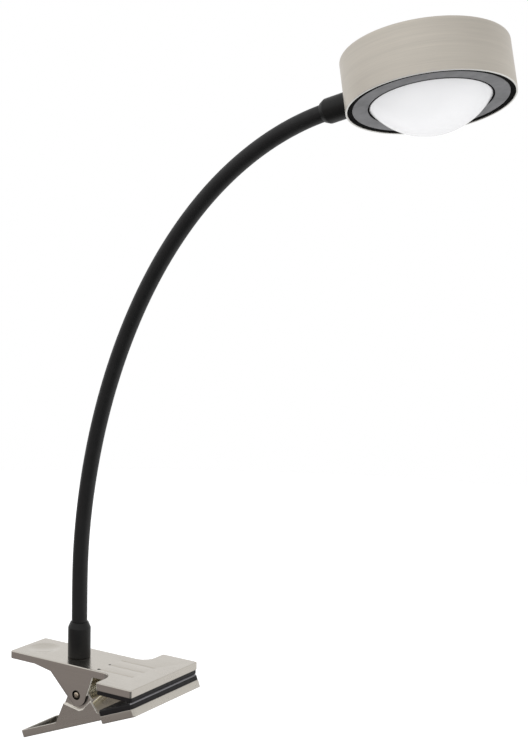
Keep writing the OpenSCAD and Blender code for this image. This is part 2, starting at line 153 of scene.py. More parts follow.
def rounded(points, radii, steps=5, closed=True):
    """A polygon's points with its corners rounded off by those radii."""
    out = []
    n = len(points)
    for i, p in enumerate(points):
        r = radii[i] if hasattr(radii, "__len__") else radii
        p = np.array(p, float)
        a, b = np.array(points[i - 1], float), np.array(points[(i + 1) % n], float)
        if r <= 0 or (not closed and i in (0, n - 1)):
            out.append(tuple(p))
            continue
        u, v = a - p, b - p
        lu, lv = np.linalg.norm(u), np.linalg.norm(v)
        u, v = u / lu, v / lv
        half = math.acos(max(-1, min(1, u @ v))) / 2
        if half > math.pi / 2 - 0.01:
            out.append(tuple(p))
            continue
        back = min(r / math.tan(half), 0.49 * lu, 0.49 * lv)
        r = back * math.tan(half)
        centre = p + (u + v) / np.linalg.norm(u + v) * r / math.sin(half)
        s, e = p + u * back - centre, p + v * back - centre
        a0, a1 = math.atan2(s[1], s[0]), math.atan2(e[1], e[0])
        turn = (a1 - a0 + math.pi) % (2 * math.pi) - math.pi
        out += [
            tuple(centre + r * np.array([math.cos(a0 + turn * k / steps), math.sin(a0 + turn * k / steps)]))
            for k in range(steps + 1)
        ]
    return out


def lathe(name, profile, matrix, sides=160, sharp=35):
    """A solid of revolution about the local Z axis from a closed (radius, height) profile."""
    rings, verts, faces = [], [], []
    for r, z in profile:
        if r < 1e-6:
            rings.append([len(verts)])
            verts.append((0, 0, z))
            continue
        rings.append(list(range(len(verts), len(verts) + sides)))
        angles = [2 * math.pi * k / sides for k in range(sides)]
        verts += [(r * math.cos(a), r * math.sin(a), z) for a in angles]
    for i, a in enumerate(rings):
        b = rings[(i + 1) % len(rings)]
        if len(a) == 1 and len(b) == 1:
            continue
        for k in range(sides):
            n = (k + 1) % sides
            if len(a) == 1:
                faces.append((a[0], b[k], b[n]))
            elif len(b) == 1:
                faces.append((a[k], b[0], a[n]))
            else:
                faces.append((a[k], b[k], b[n], a[n]))
    return new_piece(name, verts, faces, matrix, sharp)


def loft(rings):
    """(vertices, faces) between closed rings of equal length, which stay open at the first and last ring."""
    n = len(rings[0])
    verts = [p for ring in rings for p in ring]
    faces = [
        (i * n + k, i * n + (k + 1) % n, (i + 1) * n + (k + 1) % n, (i + 1) * n + k)
        for i in range(len(rings) - 1)
        for k in range(n)
    ]
    return verts, faces


def inside(points, loop):
    """Which 2-D points lie inside a closed loop."""
    x, y = points[:, 0], points[:, 1]
    hit = np.zeros(len(points), bool)
    for (x0, y0), (x1, y1) in zip(loop, loop[1:] + loop[:1]):
        crosses = (y0 > y) != (y1 > y)
        hit ^= crosses & (x < (x1 - x0) * (y - y0) / (y1 - y0 + 1e-30) + x0)
    return hit


def flat_fill(outer, holes, z):
    """(vertices, faces) of a flat region between a loop and its holes."""
    loops = [outer] + holes
    points, edges = [], []
    for loop in loops:
        s = len(points)
        points += [Vector(p) for p in loop]
        edges += [(s + i, s + (i + 1) % len(loop)) for i in range(len(loop))]
    verts, _, faces = delaunay_2d_cdt(points, edges, [], 1, 1e-7)[:3]
    co = np.array([v[:] for v in verts])
    mid = np.array([co[list(f)].mean(0) for f in faces])
    keep = inside(mid, outer)
    for h in holes:
        keep &= ~inside(mid, h)
    return [(x, y, z) for x, y in co], [tuple(f) for f, k in zip(faces, keep) if k]


class Parts:
    """Collects vertices and faces of several patches. Shared borders merge later."""

    def __init__(self):
        self.verts, self.faces = [], []

    def add(self, verts, faces):
        s = len(self.verts)
        self.verts += [tuple(v) for v in verts]
        self.faces += [tuple(i + s for i in f) for f in faces]


def cut(obj, cutter, operation="DIFFERENCE", sharp=35):
    """Applies one exact boolean and removes the cutter."""
    mod = obj.modifiers.new("cut", "BOOLEAN")
    mod.object, mod.operation, mod.solver = cutter, operation, "EXACT"
    bpy.context.view_layer.update()
    done = bpy.data.meshes.new_from_object(obj.evaluated_get(bpy.context.evaluated_depsgraph_get()))
    obj.modifiers.clear()
    obj.data = done
    tidy(done, sharp)
    bpy.data.objects.remove(cutter)
    return obj


def rod(name, r, length, matrix, sides=48):
    """A plain round cutter along the local Z axis, centred."""
    return lathe(name, [(0, -length / 2), (r, -length / 2), (r, length / 2), (0, length / 2)], matrix, sides)


def settle(obj, body, slot, material, *replaced):
    obj.data.materials.clear()
    obj.data.materials.append(material)
    if replaced:
        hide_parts(*replaced)
    if body:
        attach(obj, body)
    return obj


# ---------------------------------------------------------------- materials

class Shader:
    """One Principled material and short calls for its nodes."""

    def __init__(self, name, color, rough, metallic=0.0, **sockets):
        self.mat = bpy.data.materials.new(name)
        self.mat.use_nodes = True
        self.tree = self.mat.node_tree
        self.bsdf = self.tree.nodes["Principled BSDF"]
        self.set("Base Color", (*color, 1))
        self.set("Roughness", rough)
        self.set("Metallic", metallic)
        for k, v in sockets.items():
            self.set(k.replace("_", " "), v)
        self.color, self.rough = color, rough
        self.coords = self.tree.nodes.new("ShaderNodeTexCoord").outputs["Object"]

    def set(self, socket, value):
        self.bsdf.inputs[socket].default_value = value

    def node(self, kind, links=(), **values):
        n = self.tree.nodes.new("ShaderNode" + kind)
        for k, v in values.items():
            if k.startswith("p_"):
                setattr(n, k[2:], v)
            else:
                n.inputs[k.replace("_", " ")].default_value = v
        for socket, output in links:
            self.tree.links.new(output, n.inputs[socket])
        return n

    def link(self, output, socket):
        self.tree.links.new(output, self.bsdf.inputs[socket])

    def stretched(self, scale, coords):
        return self.node("Mapping", [("Vector", coords)], Scale=scale).outputs[0]

    def noise(self, coords, scale=1.0, detail=3.0, roughness=0.55):
        values = {"Scale": scale, "Detail": detail, "Roughness": roughness}
        return self.node("TexNoise", [("Vector", coords)], **values).outputs[0]

    def ranged(self, value, low, high, from_low=0.3, from_high=0.7):
        ends = {"From_Min": from_low, "From_Max": from_high, "To_Min": low, "To_Max": high}
        return self.node("MapRange", [("Value", value)], **ends).outputs[0]

    def mixed(self, factor, a, b):
        n = self.tree.nodes.new("ShaderNodeMix")
        n.data_type = "RGBA"
        for socket, value in ((0, factor), (6, a), (7, b)):
            if isinstance(value, bpy.types.NodeSocket):
                self.tree.links.new(value, n.inputs[socket])
            elif socket:
                n.inputs[socket].default_value = (*value, 1)
            else:
                n.inputs[socket].default_value = value
        return n.outputs[2]

    def base(self):
        """What feeds the base colour so far."""
        return self.bsdf.inputs["Base Color"].links[0].from_socket

    def tint(self, value, spread):
        """The base colour, darker and lighter by spread where the value is low and high."""
        low = tuple(c * (1 - spread) for c in self.color)
        high = tuple(min(1, c * (1 + spread)) for c in self.color)
        self.link(self.mixed(self.ranged(value, 0, 1), low, high), "Base Color")

    def roughen(self, value, spread):
        self.link(self.ranged(value, self.rough - spread, self.rough + spread), "Roughness")

    def bump(self, value, strength, distance):
        b = self.node("Bump", [("Height", value)], Strength=strength, Distance=distance)
        self.link(b.outputs[0], "Normal")


def brushed(name, color, rough, along, across, round_axis=False, spread=0.05, grain=1.0, metal=0.9):
    """Satin brushed metal. Streaks run along X, or round the local Z axis."""
    s = Shader(name, color, rough, metal, Anisotropic=0.45)
    if round_axis:
        split = s.node("SeparateXYZ", [(0, s.coords)])
        square = []
        for axis in split.outputs[:2]:
            square.append(s.node("Math", [(0, axis), (1, axis)], p_operation="MULTIPLY").outputs[0])
        total = s.node("Math", [(0, square[0]), (1, square[1])], p_operation="ADD").outputs[0]
        radius = s.node("Math", [(0, total)], p_operation="SQRT").outputs[0]
        height = s.node("Math", [(0, radius), (1, split.outputs[2])], p_operation="SUBTRACT").outputs[0]
        coords = s.node("CombineXYZ", [(0, split.outputs[0]), (1, split.outputs[1]), (2, height)]).outputs[0]
        scale = (along, along, across)
        minus = s.node("Math", [(0, split.outputs[1])], p_operation="MULTIPLY")
        minus.inputs[1].default_value = -1
        tangent = s.node("CombineXYZ", [(0, minus.outputs[0]), (1, split.outputs[0])]).outputs[0]
    else:
        coords, scale = s.coords, (along, across, across)
        tangent = s.node("CombineXYZ", X=1.0).outputs[0]
    spaces = {"p_vector_type": "VECTOR", "p_convert_from": "OBJECT", "p_convert_to": "WORLD"}
    turned = s.node("VectorTransform", [(0, tangent)], **spaces)
    s.link(turned.outputs[0], "Tangent")
    streaks = s.noise(s.stretched(scale, coords), 1.0, 6, 0.65)
    wide = s.noise(s.stretched(tuple(k * 0.22 for k in scale), coords), 1.0, 3)
    cloudy = s.noise(s.coords, 45, 2)
    both = s.node("Math", [(0, streaks), (1, wide)], p_operation="ADD").outputs[0]
    half = s.node("Math", [(0, both)], p_operation="MULTIPLY")
    half.inputs[1].default_value = 0.5
    s.tint(half.outputs[0], spread)
    if round_axis:
        # the cut edge round the mouth gets a thin near-white band: a painted highlight
        mouth_edge_highlight = s.ranged(split.outputs[2], 1, 0, -0.01285, -0.01265)
        s.link(s.mixed(mouth_edge_highlight, s.base(), (0.93, 0.92, 0.88)), "Base Color")
    else:
        # per-face value: above zero a painted highlight on a bare matt edge, below zero painted shade, near-black
        state = s.node("Attribute", p_attribute_name="bare_edge_and_painted_light").outputs["Fac"]
        painted_highlight, painted_shade = s.ranged(state, 0, 0.85, 0, 1), s.ranged(state, 0, 1, 0, -1)
        with_painted_highlight = s.mixed(painted_highlight, s.base(), (0.88, 0.84, 0.76))
        s.link(s.mixed(painted_shade, with_painted_highlight, (0.012, 0.011, 0.010)), "Base Color")
        s.link(s.ranged(state, metal, 0.15, 0, 1), "Metallic")
    scuffs_and_sheen = s.node("Math", [(0, half.outputs[0]), (1, cloudy)], p_operation="ADD")
    mean = s.node("Math", [(0, scuffs_and_sheen.outputs[0])], p_operation="MULTIPLY")
    mean.inputs[1].default_value = 0.5
    s.roughen(mean.outputs[0], 0.09)
    s.bump(streaks, 0.22 * grain, 0.00004)
    return s.mat


def plain(
    name, color, rough, metallic=0.0, scale=900, spread=0.08, uneven=0.08, height=0.00003, strength=0.25,
    **sockets,
):
    """Paint, rubber, moulded plastic or bare metal with a fine grain."""
    s = Shader(name, color, rough, metallic, **sockets)
    fine, cloudy = s.noise(s.coords, scale, 4), s.noise(s.coords, 70, 3)
    s.tint(cloudy, spread)
    s.roughen(s.noise(s.coords, scale * 0.25, 3), uneven)
    s.bump(fine, strength, height)
    return s.mat


def rivet_metal():
    """Warm plated steel, painted black in the recess round the middle: painted shade."""
    s = Shader("rivet_steel", (0.62, 0.53, 0.42), 0.28, 1.0)
    split = s.node("SeparateXYZ", [(0, s.coords)])
    flat = s.node("CombineXYZ", [(0, split.outputs[0]), (1, split.outputs[1])])
    radius = s.node("VectorMath", [(0, flat.outputs[0])], p_operation="LENGTH").outputs["Value"]
    grain = s.noise(s.coords, 1500, 4)
    s.tint(s.noise(s.coords, 300, 3), 0.1)
    # painted shade: black outside the middle boss, in the recess
    painted_recess_shade = s.ranged(radius, 0, 1, 0.00162, 0.00169)
    s.link(s.mixed(painted_recess_shade, s.base(), (0.012, 0.011, 0.009)), "Base Color")
    s.roughen(grain, 0.08)
    s.bump(grain, 0.25, 0.00003)
    return s.mat


def pad_rubber():
    """Black rubber with a painted grey highlight along its front edge."""
    s = Shader("pad_rubber", (0.0075, 0.0065, 0.007), 0.52, 0.0, Specular_IOR_Level=0.3)
    fine, cloudy = s.noise(s.coords, 1400, 4), s.noise(s.coords, 70, 3)
    s.tint(cloudy, 0.12)
    state = s.node("Attribute", p_attribute_name="bare_edge_and_painted_light").outputs["Fac"]
    painted_edge_highlight = s.mixed(state, s.base(), (0.24, 0.235, 0.245))
    s.link(painted_edge_highlight, "Base Color")
    s.roughen(s.noise(s.coords, 350, 3), 0.08)
    s.bump(fine, 0.3, 0.00006)
    return s.mat


def frosted_lens():
    """White diffusing glass, very faintly uneven. Its bands of light come from the lights alone."""
    s = Shader("lens_frosted", (0.88, 0.88, 0.885), 0.16, 0.0, Coat_Weight=0.3)
    s.tint(s.noise(s.coords, 45, 2), 0.012)
    s.roughen(s.noise(s.coords, 60, 1), 0.05)
    s.bump(s.noise(s.coords, 300, 2), 0.05, 0.00005)
    return s.mat


NICKEL_UPPER = brushed("nickel_upper", (0.66, 0.62, 0.56), 0.22, 60, 2600, metal=1.0)
NICKEL_LOWER = brushed("nickel_lower", (0.62, 0.585, 0.525), 0.28, 60, 2600, metal=1.0)
NICKEL_SHELL = brushed(
    "nickel_shell", (0.645, 0.60, 0.53), 0.38, 40, 2000, round_axis=True, spread=0.09, grain=1.4
)
LOOKS = {
    "rivet_steel": rivet_metal(),
    "spring_steel": plain("spring_steel", (0.86, 0.80, 0.60), 0.26, 0.75, 1800, 0.15),
    "pad_rubber": pad_rubber(),
    "ferrule_black": plain(
        "ferrule_black", (0.005, 0.005, 0.0047), 0.40, 0, 1600, 0.1, 0.06, Specular_IOR_Level=0.36
    ),
    "sleeve_black": plain(
        "sleeve_black", (0.006, 0.006, 0.0062), 0.45, 0, 1300, 0.12, 0.07, 0.00004, 0.3,
        Specular_IOR_Level=0.4,
    ),
    "core_steel": plain("core_steel", (0.45, 0.45, 0.46), 0.35, 1.0),
    "zinc_hardware": plain("zinc_hardware", (0.66, 0.66, 0.64), 0.33, 1.0, 1200, 0.1),
    "brass_stud": plain("brass_stud", (0.72, 0.56, 0.28), 0.30, 1.0, 1200, 0.1),
    "lead_sheath": plain("lead_sheath", (0.03, 0.03, 0.03), 0.55),
    "wire_red": plain("wire_red", (0.50, 0.04, 0.03), 0.45),
    "aluminium_plate": plain("aluminium_plate", (0.75, 0.76, 0.77), 0.38, 1.0, 1000),
    "board_white": plain("board_white", (0.80, 0.80, 0.77), 0.40),
    "board_green": plain("board_green", (0.02, 0.16, 0.06), 0.35),
    "part_black": plain("part_black", (0.02, 0.02, 0.022), 0.35),
    "led_yellow": plain("led_yellow", (0.85, 0.62, 0.12), 0.45),
    "terminal_white": plain("terminal_white", (0.78, 0.78, 0.72), 0.45),
    "reflector_white": plain("reflector_white", (0.88, 0.88, 0.87), 0.30),
    "bezel_black": plain("bezel_black", (0.003, 0.003, 0.003), 0.50, Specular_IOR_Level=0.01),
    "trim_grey": plain("trim_grey", (0.175, 0.175, 0.18), 0.48, 0.35, 1000, 0.16, 0.08, 0.00008, 0.5),
    "gasket_black": plain("gasket_black", (0.004, 0.004, 0.004), 0.55, Specular_IOR_Level=0.01),
    "lens_frosted": frosted_lens(),
    "nickel_upper": NICKEL_UPPER,
    "nickel_lower": NICKEL_LOWER,
    "nickel_shell": NICKEL_SHELL,
}
slot_of = {s["node"]: s["material_slot"] for s in frame["record"]["subparts"]}
for name, obj in nodes.items():
    obj.data.materials.clear()
    obj.data.materials.append(LOOKS[slot_of[name]])
    for face in obj.data.polygons:
        face.material_index = 0


# ---------------------------------------------------------------- clip jaws

SHEET = 1.2
CHEEK = 15.2
WING = 30.6
JAW_FRONT, JAW_REAR, JAW_NECK = 48.9, 47.4, 25.3
PLATE_Z, RIM_Z = 16.4, 12.1
BEND, BEND_IN, EDGE = 0.6, 0.12, 0.28
EAR_R, EAR_REAR, EAR_FRONT = 6.4, 251.45, 340.7
NECK_FILLET, WING_R, HANDLE_R = 7.0, 1.4, 1.4
JOGGLE_Z, JOGGLE_FLAT, JOGGLE_REAR, JOGGLE_FRONT, JOGGLE_STEP, JOGGLE_RISE = 8.4, 1.4, 31.0, 25.0, 1.35, 0.9
DIMPLE_X, DIMPLE_R, DIMPLE_DEPTH = -35.7, 8.7, 1.1
GROOVES = dict(x=14.0, rows=(-12, -2.4, 7.2), length=22.6, width=1.4, depth=0.5, pit_x=13.1, pits=2)


def ear_line(shoulder):
    """The lower edge of the cheek and ear, as x and z along the jaw, from the shoulder behind the ear."""
    front = (EAR_R * math.cos(math.radians(EAR_FRONT)), EAR_R * math.sin(math.radians(EAR_FRONT)))
    front_x = front[0] + (RIM_Z - front[1]) * math.tan(math.radians(360 - EAR_FRONT))
    steps = 32
    line = [(shoulder[0][0] - 4, RIM_Z)] + shoulder
    line += arc(0, 0, EAR_R, EAR_REAR, EAR_FRONT, steps) + [(front_x, RIM_Z), (front_x + 4, RIM_Z)]
    radii = [0] + [2.0] + [1.2] * (len(shoulder) - 1) + [2.0] + [0] * steps + [0.3, 0]
    return np.array(rounded(line, radii, 6, closed=False))


def outline(ear):
    """Points and outward normals of the jaw's T-shaped outline, anticlockwise."""
    points, normals = [], []

    def corner(cx, cy, r, start, end, steps, sign=1):
        for x, y in arc(cx, cy, r, start, end, steps):
            points.append((x, y))
            normals.append((sign * (x - cx) / r, sign * (y - cy) / r))

    def cheek(xs, y):
        for x in xs:
            points.append((x, y))
            normals.append((0, math.copysign(1, y)))

    cheek_front = JAW_NECK - NECK_FILLET
    along = sorted(
        set(np.round(np.concatenate([np.arange(ear[0, 0] - 0.4, ear[-1, 0] + 0.6, 0.4), ear[:, 0]]), 4)),
        reverse=True,
    )
    along = [x for x in along if -JAW_REAR + HANDLE_R + 0.2 < x < cheek_front - 0.2]
    corner(JAW_FRONT - WING_R, WING - WING_R, WING_R, 0, 90, 12)
    corner(JAW_NECK + WING_R, WING - WING_R, WING_R, 90, 180, 12)
    corner(cheek_front, CHEEK + NECK_FILLET, NECK_FILLET, 0, -90, 12, -1)
    cheek(along, CHEEK)
    corner(-JAW_REAR + HANDLE_R, CHEEK - HANDLE_R, HANDLE_R, 90, 180, 14)
    corner(-JAW_REAR + HANDLE_R, -CHEEK + HANDLE_R, HANDLE_R, 180, 270, 14)
    cheek(along[::-1], -CHEEK)
    corner(cheek_front, -CHEEK - NECK_FILLET, NECK_FILLET, 90, 0, 12, -1)
    corner(JAW_NECK + WING_R, -WING + WING_R, WING_R, 180, 270, 12)
    corner(JAW_FRONT - WING_R, -WING + WING_R, WING_R, 270, 360, 12)
    return np.array(points), np.array(normals)


def dimple_depth(r):
    """Depth below the flat at this distance from the dimple's middle, with a soft rim."""
    start, end = DIMPLE_R - 1.1, DIMPLE_R + 1.0
    sphere = DIMPLE_DEPTH * (1 - (r / DIMPLE_R) ** 2)
    if r <= start:
        return sphere
    if r >= end:
        return 0.0
    value = DIMPLE_DEPTH * (1 - (start / DIMPLE_R) ** 2)
    slope = -2 * DIMPLE_DEPTH * start / DIMPLE_R ** 2 * (end - start)
    t = (r - start) / (end - start)
    return value * (2 * t ** 3 - 3 * t ** 2 + 1) + slope * (t ** 3 - 2 * t ** 2 + t)


def circle(cx, cy, r, steps):
    return arc(cx, cy, r, 0, 360 - 360 / steps, steps - 1)


def stadium(x0, x1, y, half, steps=6):
    """A straight slot's outline, with round ends."""
    return arc(x1 - half, y, half, -90, 90, steps) + arc(x0 + half, y, half, 90, 270, steps)


def jaw(name, matrix, joggled, grooved, down, shoulder, hole):
    """A pressed jaw: plate, turned-down rim, cheeks with ears, thumb dimple and grooves.
    down mirrors it, so that its plate faces -Z in its own frame."""
    ear = ear_line(shoulder)
    points, normals = outline(ear)
    x, y = points[:, 0], points[:, 1]
    on_cheek = (np.abs(normals[:, 1]) > 0.999) & (np.abs(np.abs(y) - CHEEK) < 1e-6)
    edge_z = np.where(on_cheek, np.interp(x, ear[:, 0], ear[:, 1]), RIM_Z)
    edge_z = np.where(on_cheek & ((x < ear[0, 0]) | (x > ear[-1, 0])), RIM_Z, edge_z)
    fall = np.where(x < 0, math.tan(math.radians(JOGGLE_REAR)), math.tan(math.radians(JOGGLE_FRONT)))
    line_z = JOGGLE_Z - np.maximum(np.abs(x) - JOGGLE_FLAT, 0) * fall

    def ring(inset, z):
        push = np.zeros(len(points))
        if joggled:
            t = np.clip((line_z + 0.25 - z) / JOGGLE_RISE, 0, 1)
            push = np.where(on_cheek, JOGGLE_STEP * (0.6 * t + 0.4 * t * t * (3 - 2 * t)), 0)
        d = inset + push
        return np.column_stack([points - normals * d[:, None], np.broadcast_to(z, (len(points),))])

    rings = [ring(np.full(len(points), BEND + 0.12), PLATE_Z)]
    for phi in np.radians(np.linspace(0, 90, 9)):
        rings.append(ring(BEND * (1 - math.sin(phi)), PLATE_Z - BEND * (1 - math.cos(phi))))
    top = PLATE_Z - BEND
    levels = [top - 0.15]
    band_steps = 8
    band = [line_z + 0.25 - JOGGLE_RISE * t for t in np.linspace(0, 1, band_steps + 1)] if joggled else []
    down_to = np.clip(band[0], None, top - 0.2) if joggled else edge_z
    for f in (0.25, 0.5, 0.75):
        levels.append(top + f * (down_to - top))
    first_band = len(rings) + len(levels)
    levels += band
    if joggled:
        for f in (0.33, 0.66):
            levels.append(band[-1] + f * (edge_z - band[-1]))
    low = edge_z + EDGE
    walls = [np.clip(z, low, top - 0.1) for z in levels]
    rings += [ring(0.0, z) for z in walls]
    first_edge = len(rings)
    rings.append(ring(0.0, low))
    for a in np.radians((30, 60, 90)):
        rings.append(ring(EDGE * (1 - math.cos(a)), edge_z + EDGE * (1 - math.sin(a))))
    for a in np.radians((90, 60, 30, 0)):
        rings.append(ring(SHEET - EDGE * (1 - math.cos(a)), edge_z + EDGE * (1 - math.sin(a))))
    last_edge = len(rings) - 1
    plate_in = PLATE_Z - SHEET
    rings += [ring(SHEET, np.clip(z, low, plate_in - BEND_IN - 0.1)) for z in walls[::-1]]
    for a in np.radians(np.linspace(0, 90, 6)):
        rings.append(ring(SHEET + BEND_IN * (1 - math.cos(a)), plate_in - BEND_IN * (1 - math.sin(a))))
    rings.append(ring(SHEET + BEND_IN + 0.05, plate_in))
    parts = Parts()
    parts.add(*loft([r.tolist() for r in rings]))
    # the sheared edge in front of the ear (bare and matt) and the joggle's crease get a painted highlight, and
    # the ear's front arc a painted shadow. The joggled jaw's inner faces get painted shade in the handle and
    # where its cheeks step in.
    bare_edge_and_painted_light = np.zeros((len(rings) - 1, len(points)))
    front = on_cheek & (x > 2.2) & (x < ear[-1, 0] + 0.2) & (edge_z < RIM_Z - 0.5)
    # painted shadow on the ear's front arc
    painted_shade = front & (edge_z < 0.6) & (not joggled)
    bare_edge_and_painted_light[first_edge:last_edge] = np.where(painted_shade, -1, np.where(front, 1, 0))
    if joggled:
        # painted highlight along the joggle's crease
        bare_edge_and_painted_light[first_band:first_band + band_steps] = np.where(on_cheek, 1, 0)
        # painted shade on the handle's inner faces
        bare_edge_and_painted_light[last_edge:] = np.where(x < -16, -0.55, 0)
        # walls run upwards here: two levels under the joggle's band first, then the band itself
        inner_band = last_edge + 3
        # painted shade on the cheeks' inner faces where they step in
        bare_edge_and_painted_light[inner_band:inner_band + band_steps] = np.where(on_cheek, -0.45, bare_edge_and_painted_light[-1])
    bare_edge_and_painted_light = bare_edge_and_painted_light.ravel()

    # thumb dimple, on both faces
    radii = [0.0, 1.5, 3.0, 4.5, 6.0, 7.0, 7.6, 8.0, 8.4, 8.8, 9.2, 9.6, 9.9]
    steps = 72
    for face_z in (PLATE_Z, plate_in):
        loops = [[(*p, face_z - dimple_depth(r)) for p in circle(DIMPLE_X, 0, r, steps)] for r in radii[1:]]
        v, f = loft(loops)
        v.append((DIMPLE_X, 0, face_z - DIMPLE_DEPTH))
        f += [(k, len(v) - 1, (k + 1) % steps) for k in range(steps)]
        parts.add(v, f)
    dimple = circle(DIMPLE_X, 0, radii[-1], steps)
    top_holes, under_holes = [dimple], [dimple]

    if grooved:
        bore = circle((POST.x - PIVOT.x) / MM, 0, 4.1, 48)
        parts.add(*loft([[(*p, PLATE_Z) for p in bore], [(*p, plate_in) for p in bore]]))
        top_holes.append(bore)
        under_holes.append(bore)
        g = GROOVES
        for row, y in enumerate(g["rows"]):
            half = g["width"] / 2
            layers = [
                (half + 0.12, 0.0), (half + 0.05, 0.01), (half, 0.06), (half - 0.08, 0.22),
                (half - 0.22, 0.38), (half - 0.42, g["depth"]),
            ]
            x0, x1 = g["x"] + half, g["x"] + g["length"] - half
            loops = [[(*p, PLATE_Z - depth) for p in stadium(x0 - h, x1 + h, y, h)] for h, depth in layers]
            v, f = loft(loops)
            n = len(loops[0])
            f.append(tuple(range(len(v) - n, len(v))))
            parts.add(v, f)
            top_holes.append([p[:2] for p in loops[0]])
            if row < g["pits"]:
                size = 0.85 - 0.2 * row
                pit = [(size + 0.06, 0.0), (size, 0.06), (size - 0.03, 0.9), (size - 0.12, 1.0)]
                loops = [[(*p, PLATE_Z - depth) for p in circle(g["pit_x"], y, r, 20)] for r, depth in pit]
                v, f = loft(loops)
                f.append(tuple(range(len(v) - len(loops[0]), len(v))))
                # the pits are painted near-black inside: painted shade
                bare_edge_and_painted_light = np.concatenate([bare_edge_and_painted_light, np.zeros(len(parts.faces) - len(bare_edge_and_painted_light)), np.full(len(f), -1)])
                parts.add(v, f)
                top_holes.append([p[:2] for p in loops[0]])
    parts.add(*flat_fill([tuple(p[:2]) for p in rings[0]], top_holes, PLATE_Z))
    parts.add(*flat_fill([tuple(p[:2]) for p in rings[-1]], under_holes, plate_in))
    verts = np.array(parts.verts)
    if down:
        verts[:, 2] *= -1
    bare_edge_and_painted_light = np.concatenate([bare_edge_and_painted_light, np.zeros(len(parts.faces) - len(bare_edge_and_painted_light))])
    obj = new_piece(name, verts, parts.faces, matrix, 40, bare_edge_and_painted_light)
    across = matrix @ Matrix.Rotation(math.pi / 2, 4, "X")
    return cut(obj, rod("cutter", hole, 2 * CHEEK + 6, across), sharp=40)


upper = jaw("upper_jaw_pressed", UPPER, False, True, False, [(-29.7, RIM_Z), (-18.2, 10.0)], 2.72)
settle(upper, "clip_body", "nickel_upper", NICKEL_UPPER, "upper_jaw")
lower = jaw("lower_jaw_pressed", LOWER, True, False, True, [(-20.1, RIM_Z)], 2.05)
settle(lower, "lower_jaw_body", "nickel_lower", NICKEL_LOWER, "lower_jaw")


# ---------------------------------------------------------------- pads, rivet and spring

def grip_pad(name, matrix, out, down, e, lip, scuffs_and_sheen):
    """A moulded rubber pad with rounded edges and shallow cross grooves in its grip face.
    Its lip stands out over the edge of the sheet, and its edges are rounded by e."""
    x0, x1 = JAW_NECK + SHEET + 0.05, JAW_FRONT - SHEET - 0.05
    half, r = WING - SHEET - 0.05, 0.5
    face, back = RIM_Z - out, PLATE_Z - SHEET

    def ring(inset, z):
        a, b, c = x0 + inset, x1 - inset, half - inset
        return [(*p, z) for p in rounded([(a, -c), (b, -c), (b, c), (a, c)], max(r - inset, 0.2), 6)]

    rings = [ring(0.25, back), ring(0.08, back - 0.08), ring(0, back - 0.25), ring(0, back - 1.0)]
    rings += [ring(0, RIM_Z), ring(0, RIM_Z - 0.06), ring(-lip + 0.1, RIM_Z - 0.06)]
    rings += [ring(-lip, RIM_Z - 0.16), ring(-lip, face + e)]
    side = len(rings) - 1
    for a in np.radians((11, 22, 34, 45, 56, 68, 79, 90)):
        rings.append(ring(e * (1 - math.cos(a)) - lip, face + e * (1 - math.sin(a))))
    rings.append(ring(e + 0.15 - lip, face))
    parts = Parts()
    v, f = loft(rings)
    n = len(rings[0])
    bare_edge_and_painted_light = np.zeros((len(rings) - 1, n))
    if scuffs_and_sheen:
        # a painted grey highlight on most of the rounded edge, along the front only
        bare_edge_and_painted_light[side + 1:side + 7] = np.array([p[0] for p in rings[side]]) > x1
    f.append(tuple(range(n)))
    parts.add(v, f)
    holes = []
    for k in range(-12, 13):
        y = k * 2.2
        layers = [(0.42, 0.0), (0.36, 0.02), (0.26, 0.2), (0.16, 0.28)]
        loops = []
        for h, depth in layers:
            loops.append([(*p, face + depth) for p in stadium(x0 + 2.0 - h, x1 - 2.0 + h, y, h, 4)])
        v, f = loft(loops)
        m = len(loops[0])
        f.append(tuple(range(len(v) - m, len(v))))
        parts.add(v, f)
        holes.append([p[:2] for p in loops[0]])
    parts.add(*flat_fill([p[:2] for p in rings[-1]], holes, face))
    verts = np.array(parts.verts)
    if down:
        verts[:, 2] *= -1
    bare_edge_and_painted_light = np.concatenate([bare_edge_and_painted_light.ravel(), np.zeros(len(parts.faces) - bare_edge_and_painted_light.size)])
    return new_piece(name, verts, parts.faces, matrix, 40, bare_edge_and_painted_light)


upper_pad = grip_pad("upper_pad_moulded", UPPER, 2.4, False, 0.4, 0.95, False)
settle(upper_pad, "clip_body", "pad_rubber", LOOKS["pad_rubber"], "upper_pad")
lower_pad = grip_pad("lower_pad_moulded", LOWER, 3.3, True, 1.1, 1.2, True)
settle(lower_pad, "lower_jaw_body", "pad_rubber", LOOKS["pad_rubber"], "lower_pad")

# radius, and distance in from the rivet's end
RIVET_HEAD = [
    (0, 0), (0.6, 0.03), (1.1, 0.14), (1.42, 0.32), (1.6, 0.55), (1.65, 0.8), (1.65, 1.3),
    (1.8, 1.4), (2.7, 1.4), (2.7, 1.72), (1.98, 1.72),
]
rivet_end = CHEEK + 0.4
half_rivet = [(r, d - rivet_end) for r, d in RIVET_HEAD]
rivet_profile = half_rivet + [(r, -z) for r, z in half_rivet[::-1]]
rivet_axis = UPPER @ Matrix.Rotation(math.pi / 2, 4, "X")
rivet = lathe("pivot_rivet_rolled", rivet_profile, rivet_axis, 64, 40)
settle(rivet, "clip_body", "rivet_steel", LOOKS["rivet_steel"], "pivot_rivet")


